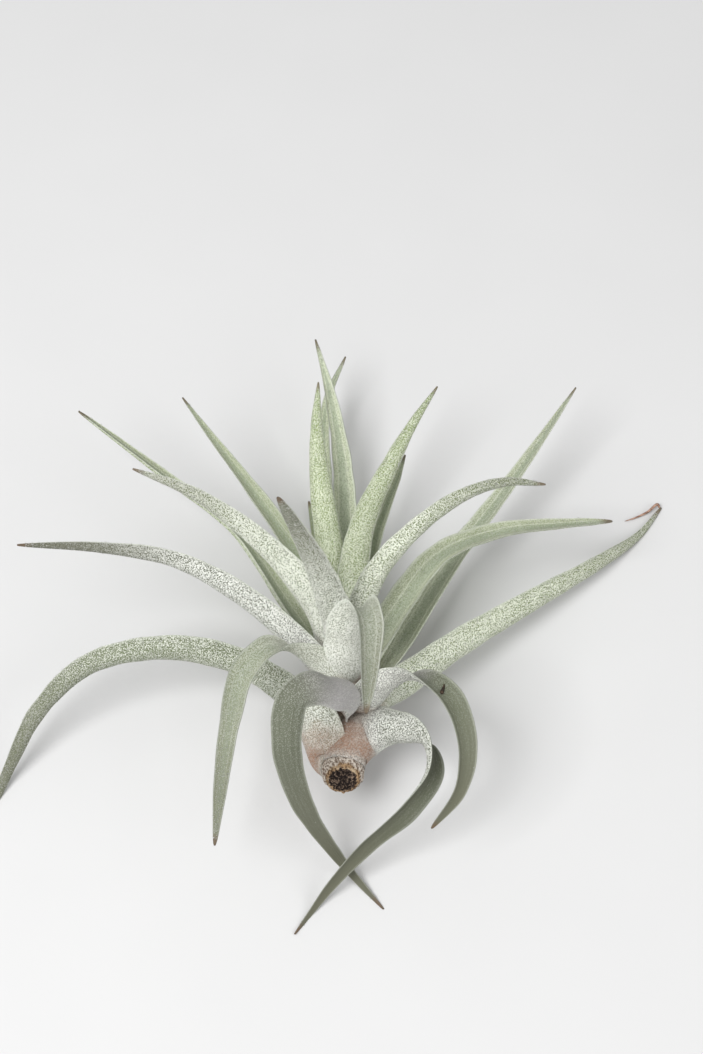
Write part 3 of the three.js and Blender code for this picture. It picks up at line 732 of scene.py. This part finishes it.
# Patterns: how many of each go to a millimetre, and how much at random the cells lie.
SHIELD_CELLS, SPECKS = 2.5, 7.4
PATCHES, LEAF_GRAIN, STREAKS = 0.11, 1.6, 1.0
LOOSE_PATCHES, DRY_STREAKS = 0.7, 1.4
STEM_GRAIN, STEM_PATCHES, PITS = 1.6, 0.5, 1.5
FLOOR_PATCHES = 0.02
CELL_RANDOMNESS = 0.8

# Places on a leaf's pattern. Shields lie a little closer along a leaf than across it. A leaf's
# silver and green move its pattern, so that nearly all leaves differ. Streaks are drawn out
# along the leaf, and lie by the share of the way across it.
CLOSENESS_ALONG = 1.1
SILVER_SHIFT, GREEN_SHIFT = 311, 97
STREAK_ALONG, STREAK_ACROSS = 0.07, 6

# Where a leaf's finish changes, in millimetres from its root or as shares of its length.
TAN_REACH, TAN_START, TAN_WANDER = (24.0, 10.0), (-3.0, 4.0), 16
AGED_SPAN, TIP_SPAN = (0.45, 0.92), (0.955, 0.99)
FOLD_PLACE, FOLD_WIDTH = 0.55, (0.05, 0.015)  # shares of the half width


def leaf_pattern(paint):
    """What a leaf's finish is worked out from: the attributes of its points, broad patches, fine
    grain, lengthwise streaks, and the cells in which its shields stand, with finer specks."""
    names = ("outer", "share", "distance", "silver", "green", "side_mm", "across", "near")
    p = SimpleNamespace(**{name: paint.attribute(name) for name in names})
    p.inner, p.aside = 1 - p.outer, p.across.size()
    p.patch, p.fine = paint.noise(PATCHES, 3), paint.noise(LEAF_GRAIN, 3, 0.6)
    along = p.distance * CLOSENESS_ALONG + p.silver * SILVER_SHIFT + p.green * GREEN_SHIFT
    drawn_out = paint.point(along * STREAK_ALONG, p.across * STREAK_ACROSS)
    p.streak = paint.noise(STREAKS, 2, 0.5, drawn_out)
    place = paint.point(along, p.side_mm)
    p.tone = paint.grey(paint.cells(SHIELD_CELLS, "Color", place))
    p.gap = paint.cells(SHIELD_CELLS, "Distance", place)
    p.speck = paint.grey(paint.cells(SPECKS, "Color", place))
    return p


def blade_colour(paint, p):
    """The blade between its shields: grey or green flesh, dulled in patches and veined in
    streaks, under a silver film, deeper in the gaps of the outer face and paler at the base."""
    flesh = paint.mix(p.green, GREY_FLESH, GREEN_FLESH)
    flesh = paint.mix((p.patch - 0.3) * 1.6, paint.mix(0.3, flesh, DULL_FLESH), flesh)
    flesh = paint.mix(p.streak.step(0.4, 0.75) * 0.08, flesh, PALE_VEIN)
    film = paint.mix(p.silver * (0.62 - p.outer * 0.42) + 0.04, flesh, SILVER_FILM)
    film = paint.mix(p.outer * 0.35, film, paint.mix(p.green, GREY_GAP, GREEN_GAP))
    young = paint.mix(p.green, MAUVE_BASE, GREEN_BASE)
    return paint.mix(p.near.step(0.2, 0.5) * (p.speck * 0.5 + 0.55 - p.outer * 0.3), film, young)


def shield_cover(p):
    """How thick the coat of shields is, and where a shield lies: round the middle of a cell,
    further out where the coat is thicker, and further in some cells than in others."""
    coat = p.silver + p.near * (0.82 - p.silver) * 0.85 - p.share * 0.2
    coat = coat + (p.patch - 0.5) * 0.3 + (p.streak - 0.5) * 0.3
    cover = (p.gap + p.tone * 0.3 + p.speck * 0.2 - coat * 0.46 - 0.4).step(0.03, -0.03)
    return coat, cover


def leaf_markings(paint, p, skin):
    """Over the coat: a greyer far end, painted shade darkening the channel between two pale folds on
    the inner face, pale margins, a tan base and a dry brown tip."""
    skin = paint.mix(p.share.step(*AGED_SPAN) * (1 - p.green) * 0.9, skin, AGED_GREY)
    # painted shade: the middle of the inner face's channel darkens towards a blue-green
    channel = p.aside.step(0.5, 0.2) * p.inner * (1 - p.near) * p.green
    skin = paint.mix(channel * 0.3, skin, CHANNEL_SHADE)
    fold = (p.aside + p.streak * 0.2 - FOLD_PLACE).size().step(*FOLD_WIDTH) * p.inner * p.silver
    skin = paint.mix(fold * p.green.step(0.0, 0.6) * (p.speck * 0.5 + 0.3), skin, PALE_FOLD)
    margin = (p.aside + p.fine * 0.1).step(0.86, 1.0)
    skin = paint.mix(margin * (0.12 + p.silver * 0.45), skin, PALE_MARGIN)
    base = (p.distance + p.patch * TAN_WANDER).step(*TAN_REACH) * p.distance.step(*TAN_START) * p.outer
    skin = paint.mix(base * (p.fine + 0.4), skin, TAN_BASE)
    tip = (p.share + p.fine * 0.03 - 0.015).step(*TIP_SPAN)
    return paint.mix(tip * 0.75, skin, BROWN_TIP)


def leaf_skin():
    """A grey-green blade under silver shields, spread about evenly: close together and white on
    the outer face and near the base, small and faint on the inner face."""
    paint = Paint("silvered_leaf")
    p = leaf_pattern(paint)
    blade = blade_colour(paint, p)
    coat, cover = shield_cover(p)
    pale = paint.mix(p.speck, SHIELD_GREY, SHIELD_WHITE)
    pale = paint.mix(p.green * (1 - p.near) * 0.55, pale, SHIELD_GREEN)
    skin = paint.mix(cover * (coat * 0.6 + p.outer * 0.3 + 0.12), blade, pale)
    height = cover * coat * 0.8 + p.fine * 0.2 + p.streak * 0.2
    return paint.finish(leaf_markings(paint, p, skin), 0.6 + cover * 0.25, height, 0.14,
                        Specular_IOR_Level=0.3)


def shield_shell():
    """The dry white of loose leaf shields, paler and greyer from one patch to the next."""
    paint = Paint("silver_shields")
    tone = paint.noise(LOOSE_PATCHES, 3)
    skin = paint.mix(tone.step(0.35, 0.65), LOOSE_GREY, LOOSE_WHITE)
    return paint.finish(skin, 0.55 + tone * 0.2, Specular_IOR_Level=0.4)


def dry_skin(name, dark, light):
    """Withered leaf tissue, streaked from a dark colour to a light one."""
    paint = Paint(name)
    streak = paint.noise(DRY_STREAKS, 3)
    skin = paint.mix(streak.step(0.3, 0.7), dark, light)
    return paint.finish(skin, 0.7 + streak * 0.2, streak, 0.1, Specular_IOR_Level=0.3)


def stem_skin():
    """Dark, pitted pith inside a tan, fibrous bark, which a pale fuzz covers behind the rim."""
    paint = Paint("stem_bark")
    outward = paint.attribute("outward")
    fine, grain = paint.noise(STEM_GRAIN, 4, 0.65), paint.noise(STEM_PATCHES, 3, 0.6)
    pits = paint.cells(PITS, "Distance")
    pith = paint.mix(fine.step(0.48, 0.66), *PITH)
    pith = paint.mix(pits.step(0.5, 0.1) * 0.8, pith, PIT)
    bark = paint.mix(fine.step(0.35, 0.62), *BARK)
    bark = paint.mix(grain.step(0.52, 0.66) * 0.7, bark, FLAKE)
    skin = paint.mix((outward + fine * 0.12 - 0.06).step(0.84, 0.94), pith, bark)
    skin = paint.mix((outward + grain * 2).step(2.7, 3.3), skin, paint.mix(fine.step(0.4, 0.6), *FUZZ))
    height = fine * 0.6 + grain * 0.5 - pits * 0.4
    return paint.finish(skin, 0.9, height, 0.5, Specular_IOR_Level=0.2)


def floor_paint():
    """A pale, matt grey that hardly varies."""
    paint = Paint("pale_floor")
    skin = paint.mix(paint.noise(FLOOR_PATCHES, 2), *FLOOR_GREYS)
    return paint.finish(skin, 0.8, Specular_IOR_Level=0.1)


# ---------------------------------------------------------------- studio

def floor():
    """A level square, FLOOR_REACH metres to each side of the plant."""
    mesh = bpy.data.meshes.new("floor")
    corners = [(-1, -1, 0), (1, -1, 0), (1, 1, 0), (-1, 1, 0)]
    mesh.from_pydata(np.array(corners) * FLOOR_REACH, [], [(0, 1, 2, 3)])
    mesh.materials.append(floor_paint())
    ground = bpy.data.objects.new("floor", mesh)
    bpy.context.scene.collection.objects.link(ground)


def softbox(name, place, width, watts):
    """A round lamp at a place in metres, with its -Z axis turned to AIM."""
    lamp = bpy.data.lights.new(name, "AREA")
    lamp.shape, lamp.size, lamp.energy = "DISK", width, watts
    box = bpy.data.objects.new(name, lamp)
    box.location = place
    box.rotation_euler = (Vector(place) - Vector(AIM)).to_track_quat("Z", "Y").to_euler()
    bpy.context.scene.collection.objects.link(box)


def sky():
    """Even white light from all round."""
    world = bpy.data.worlds.new("studio")
    world.use_nodes = True
    background = world.node_tree.nodes["Background"]
    background.inputs["Color"].default_value = (1, 1, 1, 1)
    background.inputs["Strength"].default_value = SKY_STRENGTH
    bpy.context.scene.world = world
    bpy.context.scene.view_settings.view_transform = "Standard"


def camera():
    """The photograph's view: 60 degrees above the level, straight from the front, 600 mm ahead
    of the stem's cut end, with a frame 1054 pixels tall and a focal length of 2222 pixels."""
    lens = bpy.data.cameras.new("camera")
    lens.sensor_width, lens.lens = SENSOR, SENSOR * FOCAL_PIXELS / FRAME_PIXELS
    lens.clip_end = VIEW_END
    eye = bpy.data.objects.new("camera", lens)
    eye.location = placed(np.array(EYE, float))
    eye.rotation_euler = (LEAN, 0, 0)
    bpy.context.scene.collection.objects.link(eye)
    bpy.context.scene.camera = eye


# ---------------------------------------------------------------- the plant and its view

def plant():
    """The stem, the leaves, their loose shields, the fleck on one leaf and the dry tip."""
    skin, shell = leaf_skin(), shield_shell()
    stem_piece(stem_skin())
    forms = {name: leaf_piece(name, leaf, skin) for name, leaf in LEAVES.items()}
    for name, form in forms.items():
        shield_coat(name, form, shell)
    distance, across = np.array(FLECK_PLACES).T
    fleck, _ = blade_point(forms[FLECK_LEAF], distance, across, -np.ones(len(across)), FLECK_RADIUS / 2)
    thread_piece("dark_fleck", fleck, FLECK_RADIUS, dry_skin("dark_tissue", *DARK_TISSUE))
    dry_tip = dry_skin("dry_tissue", *DRY_TISSUE)
    thread_piece("leaf_03_dry_tip", np.array(DRY_TIP_ROUTE), DRY_TIP_RADIUS, dry_tip)


plant()
floor()
camera()
for name, (place, width, watts) in SOFTBOXES.items():
    softbox(name, place, width, watts)
sky()
